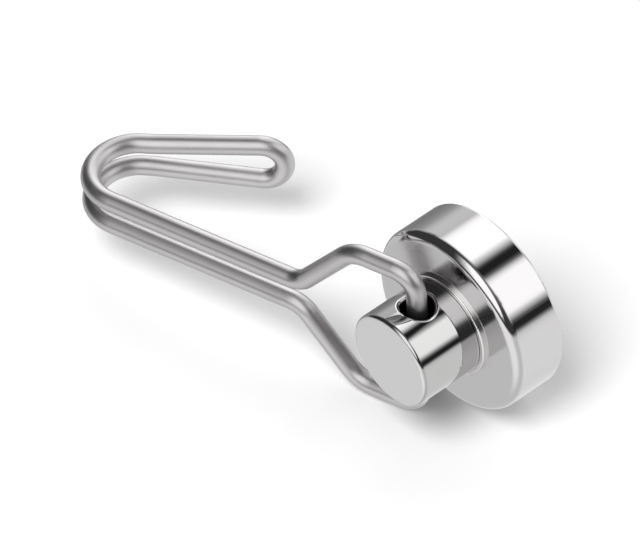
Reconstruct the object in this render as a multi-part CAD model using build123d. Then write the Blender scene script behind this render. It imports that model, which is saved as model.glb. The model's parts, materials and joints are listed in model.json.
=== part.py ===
"""Magnetic hook with a swivelling neck and a swinging bent-wire hook, lying on its side.

Millimetres. The origin is the centre of the magnet's face, level with the cup's rim.
+Y points out of that face, +Z is up and the wire's legs run towards -X.
"""
from math import asin, cos, radians, sin
import os

from build123d import *

# Cup: the round steel pot round the magnet
cup_diameter = 25.0
cup_height = 7.5
cup_wall = 1.7
cup_floor = 2.4
cup_front_round = 1.2
cup_rim_round = 0.3
cup_mouth_round = 0.15

# Magnet in the cup, and the resin that fills the gap round it
magnet_recess = 0.1
magnet_edge_round = 0.25
resin_gap = 0.8
resin_recess = 0.25

# Neck: the turned stud that swivels in the cup's floor
neck_diameter = 12.7
neck_length = 8.9
neck_edge_round = 0.5
cross_hole_offset = 0.35
cross_hole_lip = 0.45
shank_diameter = 3.8
head_overhang = 0.7
head_thickness = 0.9
head_round = 0.3
drill_overrun = 1.0

# Washers under the neck and under the riveted head
thrust_washer_overhang = 0.65
thrust_washer_thickness = 0.5
thrust_washer_round = 0.2
retaining_washer_overhang = 0.2
retaining_washer_thickness = 0.8

# Clearances, each on one side
shank_clearance = 0.05
axial_play = 0.05
magnet_bore_clearance = 0.3
cross_hole_clearance = 0.85

# Wire hook, measured along the wire's centre line
wire_diameter = 2.5
wire_end_round = 0.2
end_gap = 3.0
yoke_room = 3.25
arm_length = 9.0
shoulder_to_join = 7.85
leg_gap = 1.24
leg_reach = 44.7
hook_radius = 5.6
hook_turn = 155.0
return_length = 17.7
loop_gap = 3.1
flare_start = 1.2
entry_bend = 2.9
shoulder_bend = 4.4
join_bend = 3.5
flare_bend = 16.0

# How the neck and the wire lie in the photographed pose, in degrees
neck_tilt = 3.5
wire_lean = 15.0

# Sizes that follow from those above
magnet_diameter = cup_diameter - 2 * (cup_wall + resin_gap)
floor_hole_diameter = shank_diameter + 2 * shank_clearance
head_diameter = shank_diameter + 2 * head_overhang
retaining_washer_diameter = head_diameter + 2 * retaining_washer_overhang
magnet_bore = retaining_washer_diameter + 2 * magnet_bore_clearance
thrust_washer_diameter = neck_diameter + 2 * thrust_washer_overhang
cross_hole_diameter = wire_diameter + 2 * cross_hole_clearance
yoke_half_width = neck_diameter / 2 + yoke_room + wire_diameter / 2
leg_spacing = wire_diameter + leg_gap
loop_width = wire_diameter + loop_gap

# Places along the neck's axis that follow from the sizes
washer_face = -cup_height - thrust_washer_thickness
neck_foot = washer_face - axial_play
neck_end = neck_foot - neck_length
pivot_place = (neck_foot + neck_end) / 2 + cross_hole_offset
floor_face = -cup_height + cup_floor
retainer_near = floor_face + axial_play
retainer_far = retainer_near + retaining_washer_thickness


def turned(outline):
    """A solid turned about the Y axis from closed (radius, place, corner round) points."""
    corners = [(radius, place) for radius, place, _ in outline]
    rounds = [corner_round for _, _, corner_round in outline]
    return revolve(make_face(FilletPolyline(*corners, radius=rounds, close=True)), Axis.Y)


def ring(inner_diameter, outer_diameter, near, far, near_round=0):
    """A turned ring between two places, with its outer edge rounded at the near one."""
    return turned([
        (inner_diameter / 2, near, 0),
        (outer_diameter / 2, near, near_round),
        (outer_diameter / 2, far, 0),
        (inner_diameter / 2, far, 0),
    ])


def steel_cup():
    """The pot: a thick floor with the shank's hole, a wall and a rounded front edge."""
    outer = cup_diameter / 2
    hole = floor_hole_diameter / 2
    return turned([
        (hole, -cup_height, 0),
        (outer, -cup_height, cup_front_round),
        (outer, 0, cup_rim_round),
        (outer - cup_wall, 0, cup_mouth_round),
        (outer - cup_wall, floor_face, 0),
        (hole, floor_face, 0),
    ])


def ring_magnet():
    """The magnet: a ring on the cup's floor, just below its rim, with broken edges."""
    return turned([
        (magnet_bore / 2, floor_face, 0),
        (magnet_diameter / 2, floor_face, 0),
        (magnet_diameter / 2, -magnet_recess, magnet_edge_round),
        (magnet_bore / 2, -magnet_recess, magnet_edge_round),
    ])


def resin_ring():
    """The resin that fills the gap between the magnet and the cup's wall."""
    return ring(magnet_diameter, magnet_diameter + 2 * resin_gap, floor_face, -resin_recess)


def thrust_washer():
    """The thin ring that shows at the neck's root, between the neck and the cup."""
    return ring(floor_hole_diameter, thrust_washer_diameter, washer_face, -cup_height, thrust_washer_round)


def retaining_washer():
    """The washer under the riveted head, which holds the neck in the cup."""
    return ring(floor_hole_diameter, retaining_washer_diameter, retainer_near, retainer_far)


def hook_plane():
    """The wire's own plane at the pivot, before its lean: X along the legs, Y up the cross hole."""
    tilt = radians(neck_tilt)
    legs = Vector(-cos(tilt), 0, -sin(tilt))
    return Plane(origin=(0, pivot_place, 0), x_dir=legs, z_dir=(0, 1, 0))


def swivel_neck():
    """The stud: a thick neck with the cross hole, a shank through the cup and a riveted head."""
    shank = shank_diameter / 2
    stud = turned([
        (0, neck_end, 0),
        (neck_diameter / 2, neck_end, neck_edge_round),
        (neck_diameter / 2, neck_foot, 0),
        (shank, neck_foot, 0),
        (shank, retainer_far, 0),
        (head_diameter / 2, retainer_far, 0),
        (head_diameter / 2, retainer_far + head_thickness, head_round),
        (0, retainer_far + head_thickness, 0),
    ])
    drill_length = neck_diameter + 2 * drill_overrun
    drill = Cylinder(cross_hole_diameter / 2, drill_length, rotation=(90, 0, 0))
    stud -= hook_plane() * drill
    lips = [edge for edge in stud.edges() if is_hole_lip(edge)]
    return fillet(lips, cross_hole_lip)


def is_hole_lip(edge):
    """Whether an edge is where the cross hole comes out of the neck's side."""
    box = edge.bounding_box()
    reach = max(abs(box.min.Y - pivot_place), abs(box.max.Y - pivot_place))
    return reach < cross_hole_diameter and edge.geom_type not in (GeomType.CIRCLE, GeomType.LINE)


def wire_strand():
    """Half of the wire's centre line in its own plane: hole, yoke, leg, hook and flared return."""
    leg = leg_spacing / 2
    yoke = FilletPolyline(
        (0, end_gap / 2, 0),
        (0, yoke_half_width, 0),
        (arm_length, yoke_half_width, 0),
        (arm_length + shoulder_to_join, leg, 0),
        (leg_reach, leg, 0),
        radius=[entry_bend, shoulder_bend, join_bend],
    )
    turn = radians(hook_turn)
    around = [Vector(leg_reach, leg, 0) + hook_radius * Vector(sin(part), 0, 1 - cos(part))
              for part in (turn / 2, turn)]
    hook = ThreePointArc(yoke @ 1, around[0], around[1])
    back = Vector(cos(turn), 0, sin(turn))
    loop = loop_width / 2
    flare_share = (loop - leg) / (return_length - flare_start - loop)
    tip_radius = loop / cos(asin(flare_share))
    straight = return_length - flare_start - tip_radius * (1 + flare_share)
    flare_corner = around[1] + back * flare_start
    flared = back * straight + Vector(0, straight * flare_share / cos(asin(flare_share)), 0)
    return_run = FilletPolyline(
        around[1],
        flare_corner,
        flare_corner + flared,
        radius=[flare_bend],
    )
    return yoke, hook, return_run, back


def wire_path():
    """The whole centre line: two mirrored strands joined by the round tip of the loop."""
    yoke, hook, return_run, back = wire_strand()
    halves = [yoke, hook, return_run]
    mirrored = [mirror(half, about=Plane.XZ) for half in halves]
    end = return_run @ 1
    heading = return_run % 1
    radius = end.Y / (heading - Vector(0, heading.Y, 0)).length
    crown = end - Vector(0, end.Y, 0) + back * radius * (1 + heading.Y)
    tip = ThreePointArc(end, crown, Vector(end.X, -end.Y, end.Z))
    edges = [edge for piece in halves + [tip] + mirrored for edge in piece.edges()]
    return Wire(edges)


def wire_hook():
    """The bent wire, leaning away from the magnet about the cross hole as it was photographed."""
    path = wire_path()
    section = Plane(origin=path @ 0, z_dir=path % 0) * Circle(wire_diameter / 2)
    wire = sweep(section, path=path)
    expected = section.area * path.length
    print("wire volume", round(wire.volume, 1), "section times length", round(expected, 1))
    cut_ends = [edge for edge in wire.edges().filter_by(GeomType.CIRCLE)
                if abs(abs(edge.arc_center.Y) - end_gap / 2) < wire_end_round]
    wire = fillet(cut_ends, wire_end_round)
    return hook_plane() * (Rot(0, wire_lean, 0) * wire)


def main():
    os.makedirs("parts", exist_ok=True)
    for make in (steel_cup, ring_magnet, resin_ring, thrust_washer, retaining_washer, swivel_neck, wire_hook):
        shape = make()
        export_step(shape, f"parts/{make.__name__}.step")
        box = shape.bounding_box()
        print(make.__name__, "lowest", round(box.min.Z, 3), "left", round(box.min.X, 2))


main()
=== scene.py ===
import json
from math import cos, pi, radians, sin

import bpy
from mathutils import Matrix, Vector


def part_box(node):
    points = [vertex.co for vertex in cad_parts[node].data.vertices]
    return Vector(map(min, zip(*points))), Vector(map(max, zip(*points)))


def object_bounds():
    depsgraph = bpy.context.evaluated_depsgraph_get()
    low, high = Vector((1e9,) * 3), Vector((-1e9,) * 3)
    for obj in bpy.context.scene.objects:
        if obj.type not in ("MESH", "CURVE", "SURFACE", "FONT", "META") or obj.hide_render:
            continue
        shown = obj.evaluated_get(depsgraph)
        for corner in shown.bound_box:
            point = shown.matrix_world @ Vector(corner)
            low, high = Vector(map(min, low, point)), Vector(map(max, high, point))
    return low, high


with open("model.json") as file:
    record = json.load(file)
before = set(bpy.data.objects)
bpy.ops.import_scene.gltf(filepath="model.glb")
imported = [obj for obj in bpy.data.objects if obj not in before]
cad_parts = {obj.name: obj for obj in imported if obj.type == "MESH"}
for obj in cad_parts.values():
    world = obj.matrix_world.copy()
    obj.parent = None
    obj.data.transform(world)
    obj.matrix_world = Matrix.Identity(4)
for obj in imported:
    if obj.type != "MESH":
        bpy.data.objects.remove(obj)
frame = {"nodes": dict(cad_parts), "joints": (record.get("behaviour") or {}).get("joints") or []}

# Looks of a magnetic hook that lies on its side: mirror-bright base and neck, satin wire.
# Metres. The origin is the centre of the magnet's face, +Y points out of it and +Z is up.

cad_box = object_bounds()
scene = bpy.context.scene
MM = 0.001

# Camera: the photograph's view, as two angles, a distance and a scale in the photograph's pixels
view_azimuth = 47.8
view_elevation = 46.7
camera_distance = 1.0
picture_width_px = 640
pixels_per_mm = 8.29
sensor_width_mm = 36.0
aim_right_of_pivot = -11.9 * MM
aim_above_pivot = 8.4 * MM

# The object's own places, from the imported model
cup_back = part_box("steel_cup")[0].y
neck_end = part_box("swivel_neck")[0].y
swing = next(joint for joint in frame["joints"] if joint["name"] == "hook_swing")
pivot = Vector(swing["pos_m"])
hole_axis = Vector(swing["axis"])
hole_radius = 2.1 * MM

# Floor and key light
floor_half_size = 3.0
floor_gap = 0.02 * MM
floor_colour = (0.86, 0.86, 0.86)
floor_roughness = 0.9
floor_specular = 0.1
key_size = 0.6
key_power = 7.0
key_place = Vector((0.05, -0.5, 0.86))

# The studio that the metal reflects. Bands give an angle and the brightness there: the angles go
# round the Y axis from +X up over +Z, in degrees. Directions are (x, y, z). A spread is two angles
# from a direction, in degrees, and an edge two values along an axis: between the two, something
# goes from nothing to full.

# On the magnet's side: bands all round. On the left their edge is shifted towards +Y.
side_bands = [
    (-180, 0.48), (-171, 0.35), (-155, 0.25), (-125, 0.25), (-120, 0.88), (-75, 0.92),
    (-51, 0.98), (-11, 0.99), (-4, 0.93), (0.5, 0.74), (3.5, 0.28), (6.5, 0.03), (13, 0.02),
    (17, 0.17), (22, 0.75), (27, 1.40), (32, 1.47), (64, 1.47), (68, 1.17), (74, 0.17),
    (78, 0.02), (85, 0.02), (88, 0.10), (94, 0.78), (100, 1.50), (109, 1.80), (134, 1.55),
    (141, 1.40), (149, 0.75), (165, 0.79), (173, 0.68), (180, 0.48),
]
side_edge = (-0.04, 0.36)
left_edge_shift = 0.13
left_edge_angles = (80, 102)

# Behind the object, above the floor: one plain level in place of the bands, and in it a narrow
# softbox low on the left, which lights the upper edges of the wire
back_edge = (0.48, 0.60)
back_far_edge = (0.90, 0.75)
back_low_edge = (-0.22, 0.05)
back_level = 1.0
rim_direction = (-0.66, 0.69, 0.26)
rim_spread = (29, 11)
rim_level = 2.0

# On the neck's side: a round softbox, cut off low down and on the left, in a dark gap over a pale
# floor that is brightest near by
box_direction = (0.03, -0.79, 0.58)
box_spread = (46, 36)
box_low_edge = (0.05, 0.3)
box_left_edge = (-0.46, 0.02)
box_level = 1.52
near_floor_direction = (0.30, -0.87, -0.35)
near_floor_spread = (50, 12)
near_floor_level = 1.12
far_floor_level = 0.73
floor_edge_direction = (-0.12, -0.07, 0.99)
floor_edge = (-0.11, 0.01)
gap_bands = [
    (-180, 0.05), (20, 0.05), (36, 0.08), (50, 0.15), (66, 0.24), (80, 0.19), (102, 0.10),
    (120, 0.05), (180, 0.05),
]

# What the camera sees behind the floor
backdrop_level = 1.0

# Finishes of the cup and the neck, and painted shade on the neck: tints darker than the cup's,
# and near-black inside its cross hole. Tints and roughness come in pairs that a noise goes between,
# and sizes are those of the noise's features. Edges are distances from the place where a finish
# begins, and the mirror finish is on both pieces.
mirror_roughness = (0.02, 0.05)
mirror_patch_size = 1.2 * MM
mirror_wave_depth = 0.002 * MM
cup_tints = ((0.645, 0.634, 0.636), (0.665, 0.654, 0.656))
cup_cloud_size = 5 * MM
lathe_edge = (0.08 * MM, 0.01 * MM)
lathe_roughness = (0.09, 0.19)
lathe_gloss_size = 0.3 * MM
lathe_ring_size = 0.25 * MM
lathe_depth = 0.001 * MM
# Darker than the cup's tints: painted shade on the same plating
neck_painted_shade_tints = ((0.520, 0.516, 0.514), (0.545, 0.541, 0.538))
neck_cloud_size = 4 * MM
blasted_edge = (0.12 * MM, 0.02 * MM)
blasted_tints = ((0.78, 0.78, 0.78), (0.84, 0.84, 0.84))
blasted_roughness = 0.36
# Inside the cross hole: a rougher drilled surface, and near-black tints that are painted shade
hole_shade_and_rough_edge = (0.2 * MM, 0.03 * MM)
hole_painted_shade_tints = ((0.02, 0.018, 0.017), (0.06, 0.055, 0.05))
drilled_roughness = 0.5
rivet_edge = (0, 0.5 * MM)
rivet_roughness = 0.28
neck_grain_size = 0.09 * MM
neck_grain_depth = 0.004 * MM


def add(tree, kind, fill, output=0, **settings):
    """A node of a kind with its sockets filled from sockets or plain values. Returns one output."""
    node = tree.nodes.new("ShaderNode" + kind)
    for name, value in settings.items():
        setattr(node, name, value)
    for slot, value in fill.items():
        if isinstance(value, bpy.types.NodeSocket):
            tree.links.new(value, node.inputs[slot])
        else:
            node.inputs[slot].default_value = value
    return node.outputs[output]


def calculate(tree, operation, *values):
    """One step of arithmetic."""
    return add(tree, "Math", dict(enumerate(values)), operation=operation)


def product(tree, first, *others):
    """The product of some values."""
    for other in others:
        first = calculate(tree, "MULTIPLY", first, other)
    return first


def distance(tree, first, second):
    """How far a point with two coordinates is from their origin."""
    squares = product(tree, first, first), product(tree, second, second)
    return calculate(tree, "SQRT", calculate(tree, "ADD", *squares))


def step(tree, value, start, end):
    """Goes smoothly from 0 at the start to 1 at the end, also where the end is the smaller."""
    fill = {"Value": value, "From Min": start, "From Max": end}
    return add(tree, "MapRange", fill, interpolation_type="SMOOTHSTEP")


def step_near(tree, value, place, edge):
    """Goes smoothly from 0 to 1 between two distances from a place."""
    return step(tree, value, *(place + away for away in edge))


def blend(tree, share, first, second):
    """Goes from the first value to the second as the share goes from 0 to 1."""
    fill = {0: share, 2: first, 3: second}  # 2 and 3 are the node's sockets for plain values
    return add(tree, "Mix", fill, data_type="FLOAT")


def tint(tree, share, first, second):
    """Goes from the first colour to the second. Each is a socket or three values."""
    ends = [end if isinstance(end, bpy.types.NodeSocket) else (*end, 1) for end in (first, second)]
    fill = {0: share, 6: ends[0], 7: ends[1]}  # 6 and 7 are the node's sockets for colours
    return add(tree, "Mix", fill, output=2, data_type="RGBA")


def turn_share(angle):
    """An angle round the Y axis in degrees, as a share from 0 at -180 to 1 at 180."""
    return radians(angle) / (2 * pi) + 0.5


def bands_round(tree, share, bands):
    """Levels of grey at angles round the Y axis, for a share of the turn."""
    output = add(tree, "ValToRGB", {0: share})
    elements = output.node.color_ramp.elements
    for _ in bands[2:]:
        elements.new(1.0)
    for element, (angle, level) in zip(elements, bands):
        element.position = turn_share(angle)
        element.color = (level, level, level, 1)
    return output


def toward(tree, vector, aim):
    """How far a vector reaches along an aim."""
    fill = {0: vector, 1: Vector(aim).normalized()}
    return add(tree, "VectorMath", fill, output="Value", operation="DOT_PRODUCT")


def cone(tree, direction, aim, spread):
    """Goes from 0 to 1 between two angles from an aim, in degrees."""
    return step(tree, toward(tree, direction, aim), *(cos(radians(angle)) for angle in spread))


def position(tree):
    """The place on the object, in metres."""
    return add(tree, "TexCoord", {}, output="Object")


def parts(tree, vector):
    """The x, y and z of a vector."""
    return tuple(add(tree, "SeparateXYZ", {0: vector}).node.outputs)


def noise(tree, place, size, detail=2.0):
    """Even noise from 0 to 1 whose features have a size in metres."""
    fill = {"Vector": place, "Scale": 1 / size, "Detail": detail}
    return add(tree, "TexNoise", fill)


def rings(tree, place, size, detail=2.0):
    """Noise from 0 to 1 that makes rings round the Y axis, as a lathe does."""
    x, _, z = parts(tree, place)
    fill = {"W": distance(tree, x, z), "Scale": 1 / size, "Detail": detail}
    return add(tree, "TexNoise", fill, noise_dimensions="1D")


def bump(tree, height, depth, normal=None):
    """A normal for a height from 0 to 1 that stands for a depth in metres."""
    fill = {"Height": height, "Distance": depth}
    if normal:
        fill["Normal"] = normal
    return add(tree, "Bump", fill)


def new_material(name, metallic=1.0):
    """A node material and its shader, with the metallic share set."""
    material = bpy.data.materials.new(name)
    material.use_nodes = True
    shader = material.node_tree.nodes["Principled BSDF"]
    shader.inputs["Metallic"].default_value = metallic
    return material, shader


def connect(shader, **sockets):
    """Links outputs to the shader's sockets. Underscores stand for spaces."""
    for name, output in sockets.items():
        shader.id_data.links.new(output, shader.inputs[name.replace("_", " ")])


def dress(node, material):
    """Gives a CAD node its finish through its object's material slot."""
    piece = frame["nodes"][node]
    if not piece.material_slots:
        piece.data.materials.append(None)
    piece.material_slots[0].link = "OBJECT"
    piece.material_slots[0].material = material


def mirror_gloss(tree, place):
    """The roughness of bright plating: next to none, in soft patches."""
    return blend(tree, noise(tree, place, mirror_patch_size), *mirror_roughness)


def cup_nickel():
    """Bright plating on the cup: a mirror wall, and a fine lathe finish on the face at the neck."""
    material, shader = new_material("cup_nickel")
    tree = material.node_tree
    place = position(tree)
    face = step_near(tree, parts(tree, place)[1], cup_back, lathe_edge)
    cloud = noise(tree, place, cup_cloud_size)
    colour = tint(tree, cloud, *cup_tints)
    face_gloss = blend(tree, rings(tree, place, lathe_gloss_size), *lathe_roughness)
    roughness = blend(tree, face, mirror_gloss(tree, place), face_gloss)
    waves = bump(tree, cloud, mirror_wave_depth)
    lathe = bump(tree, product(tree, rings(tree, place, lathe_ring_size), face), lathe_depth, waves)
    connect(shader, Base_Color=colour, Roughness=roughness, Normal=lathe)
    return material


def neck_nickel():
    """Bright plating on the neck, with painted shade: darker than the cup's plating, and near-black
    inside the rough drilled hole. With a blasted end and a formed rivet head.
    """
    material, shader = new_material("neck_nickel")
    tree = material.node_tree
    place = position(tree)
    y = parts(tree, place)[1]
    across = toward(tree, place, (hole_axis.z, 0, -hole_axis.x))
    along = calculate(tree, "SUBTRACT", y, pivot.y)
    end = step_near(tree, y, neck_end, blasted_edge)
    hole = step_near(tree, distance(tree, across, along), hole_radius, hole_shade_and_rough_edge)
    rivet = step_near(tree, y, cup_back, rivet_edge)
    cloud = noise(tree, place, neck_cloud_size)
    grain = noise(tree, place, neck_grain_size)
    # Painted shade: the neck's plating is darker than the cup's
    colour = tint(tree, cloud, *neck_painted_shade_tints)
    colour = tint(tree, end, colour, tint(tree, grain, *blasted_tints))
    # Painted shade: near-black inside the cross hole
    colour = tint(tree, hole, colour, tint(tree, grain, *hole_painted_shade_tints))
    roughness = blend(tree, end, mirror_gloss(tree, place), blasted_roughness)
    roughness = blend(tree, hole, roughness, drilled_roughness)
    roughness = blend(tree, rivet, roughness, rivet_roughness)
    rough = calculate(tree, "MAXIMUM", end, calculate(tree, "MAXIMUM", hole, rivet))
    waves = bump(tree, cloud, mirror_wave_depth)
    grained = bump(tree, product(tree, grain, rough), neck_grain_depth, waves)
    connect(shader, Base_Color=colour, Roughness=roughness, Normal=grained)
    return material


def even_finish(name, tints, cloud_size, roughness, patch_size, patch_detail=2.0,
                skin=noise, skin_size=0, skin_detail=2.0, skin_depth=0, metallic=1.0):
    """A finish that is alike all over its piece: clouds between two tints, patches between two
    values of roughness, and a skin of bumps where it has a depth."""
    material, shader = new_material(name, metallic)
    tree = material.node_tree
    place = position(tree)
    colour = tint(tree, noise(tree, place, cloud_size), *tints)
    gloss = blend(tree, noise(tree, place, patch_size, patch_detail), *roughness)
    connect(shader, Base_Color=colour, Roughness=gloss)
    if skin_depth:
        height = skin(tree, place, skin_size, skin_detail)
        connect(shader, Normal=bump(tree, height, skin_depth))
    return material


def wire_satin():
    """Drawn wire with a satin nickel finish, a little lavender in its grey."""
    return even_finish(
        "wire_satin", tints=((0.550, 0.536, 0.545), (0.615, 0.600, 0.609)), cloud_size=6 * MM,
        roughness=(0.34, 0.43), patch_size=1.2 * MM,
        skin_size=0.12 * MM, skin_detail=4.0, skin_depth=0.003 * MM,
    )


def washer_nickel():
    """Bright thrust washer with a tumbled finish."""
    return even_finish(
        "washer_nickel", tints=((0.74, 0.72, 0.72), (0.80, 0.78, 0.78)), cloud_size=3 * MM,
        roughness=(0.12, 0.22), patch_size=0.4 * MM,
    )


def washer_steel():
    """Zinc-plated retaining washer with faint stamping rings."""
    return even_finish(
        "washer_steel", tints=((0.50, 0.51, 0.53), (0.60, 0.61, 0.62)), cloud_size=1.5 * MM,
        roughness=(0.25, 0.4), patch_size=0.3 * MM,
        skin=rings, skin_size=0.2 * MM, skin_depth=0.003 * MM,
    )


def magnet_nickel():
    """Satin nickel on a sintered magnet: a fine pebbled skin."""
    return even_finish(
        "magnet_nickel", tints=((0.60, 0.585, 0.56), (0.66, 0.645, 0.62)), cloud_size=4 * MM,
        roughness=(0.2, 0.32), patch_size=0.25 * MM, patch_detail=3.0,
        skin_size=0.25 * MM, skin_detail=3.0, skin_depth=0.004 * MM,
    )


def resin():
    """Black cured resin with an uneven, glossy skin."""
    return even_finish(
        "resin", tints=((0.008, 0.008, 0.009), (0.02, 0.02, 0.022)), cloud_size=1.6 * MM,
        roughness=(0.16, 0.3), patch_size=0.5 * MM,
        skin_size=1.6 * MM, skin_depth=0.05 * MM, metallic=0.0,
    )


def magnet_side(tree, direction, share):
    """What is reflected on the magnet's side: the bands, and the plain level and rim behind."""
    _, y, z = parts(tree, direction)
    bands = bands_round(tree, share, side_bands)
    behind = product(tree, step(tree, y, *back_edge), step(tree, y, *back_far_edge),
                     step(tree, z, *back_low_edge))
    rim = product(tree, cone(tree, direction, rim_direction, rim_spread), behind)
    return blend(tree, rim, blend(tree, behind, bands, back_level), rim_level)


def neck_side(tree, direction, share):
    """What is reflected on the neck's side: the softbox in its gap, over the floor."""
    x, _, z = parts(tree, direction)
    box = product(tree, cone(tree, direction, box_direction, box_spread),
                  step(tree, z, *box_low_edge), step(tree, x, *box_left_edge))
    sky = blend(tree, box, bands_round(tree, share, gap_bands), box_level)
    near = cone(tree, direction, near_floor_direction, near_floor_spread)
    ground = blend(tree, near, far_floor_level, near_floor_level)
    above = step(tree, toward(tree, direction, floor_edge_direction), *floor_edge)
    return blend(tree, above, ground, sky)


def studio():
    """The world that the metal reflects, and a plain backdrop for the camera."""
    world = bpy.data.worlds.new("studio")
    scene.world = world
    world.use_nodes = True
    tree = world.node_tree
    tree.nodes.clear()
    direction = add(tree, "TexCoord", {}, output="Generated")
    x, y, z = parts(tree, direction)
    turn = calculate(tree, "DIVIDE", calculate(tree, "ARCTAN2", z, x), 2 * pi)
    share = calculate(tree, "ADD", turn, 0.5)
    on_left = step(tree, share, *(turn_share(angle) for angle in left_edge_angles))
    depth = calculate(tree, "SUBTRACT", y, product(tree, on_left, left_edge_shift))
    around = blend(tree, step(tree, depth, *side_edge), neck_side(tree, direction, share),
                   magnet_side(tree, direction, share))
    seen = add(tree, "LightPath", {}, output="Is Camera Ray")
    light = add(tree, "Background", {"Color": blend(tree, seen, around, backdrop_level)})
    tree.links.new(light, tree.nodes.new("ShaderNodeOutputWorld").inputs[0])


def new_object(name, data):
    """An object that is linked to the scene."""
    piece = bpy.data.objects.new(name, data)
    scene.collection.objects.link(piece)
    return piece


def camera():
    """The photograph's view, with the whole hook in the picture."""
    azimuth, elevation = radians(view_azimuth), radians(view_elevation)
    back = Vector((sin(azimuth) * cos(elevation), -cos(azimuth) * cos(elevation), sin(elevation)))
    right = Vector((cos(azimuth), sin(azimuth), 0))
    up = back.cross(right)
    aim = pivot + right * aim_right_of_pivot + up * aim_above_pivot
    data = bpy.data.cameras.new("camera")
    data.sensor_width = sensor_width_mm
    data.lens = pixels_per_mm * camera_distance / MM / picture_width_px * sensor_width_mm
    piece = new_object("camera", data)
    turned = Matrix((right, up, back)).transposed().to_4x4()
    piece.matrix_world = Matrix.Translation(aim + back * camera_distance) @ turned
    scene.camera = piece


def floor():
    """A plain white floor under the object."""
    mesh = bpy.data.meshes.new("floor")
    reach = floor_half_size
    corners = [(-reach, -reach, 0), (reach, -reach, 0), (reach, reach, 0), (-reach, reach, 0)]
    mesh.from_pydata(corners, [], [(0, 1, 2, 3)])
    piece = new_object("floor", mesh)
    piece.location.z = cad_box[0].z - floor_gap
    material, shader = new_material("floor", metallic=0.0)
    shader.inputs["Base Color"].default_value = (*floor_colour, 1)
    shader.inputs["Roughness"].default_value = floor_roughness
    shader.inputs["Specular IOR Level"].default_value = floor_specular
    mesh.materials.append(material)
    piece.visible_glossy = False


def key_light():
    """A large soft light overhead that whitens the floor and leaves soft shadows on it."""
    data = bpy.data.lights.new("key", "AREA")
    data.shape = "DISK"
    data.size = key_size
    data.energy = key_power
    piece = new_object("key", data)
    piece.location = key_place
    piece.rotation_euler = key_place.to_track_quat("Z", "Y").to_euler()
    piece.visible_glossy = False


scene.view_settings.view_transform = "Standard"
camera()
studio()
floor()
key_light()
dress("steel_cup", cup_nickel())
dress("swivel_neck", neck_nickel())
dress("thrust_washer", washer_nickel())
dress("ring_magnet", magnet_nickel())
dress("resin_ring", resin())
dress("retaining_washer", washer_steel())
dress("wire_hook", wire_satin())
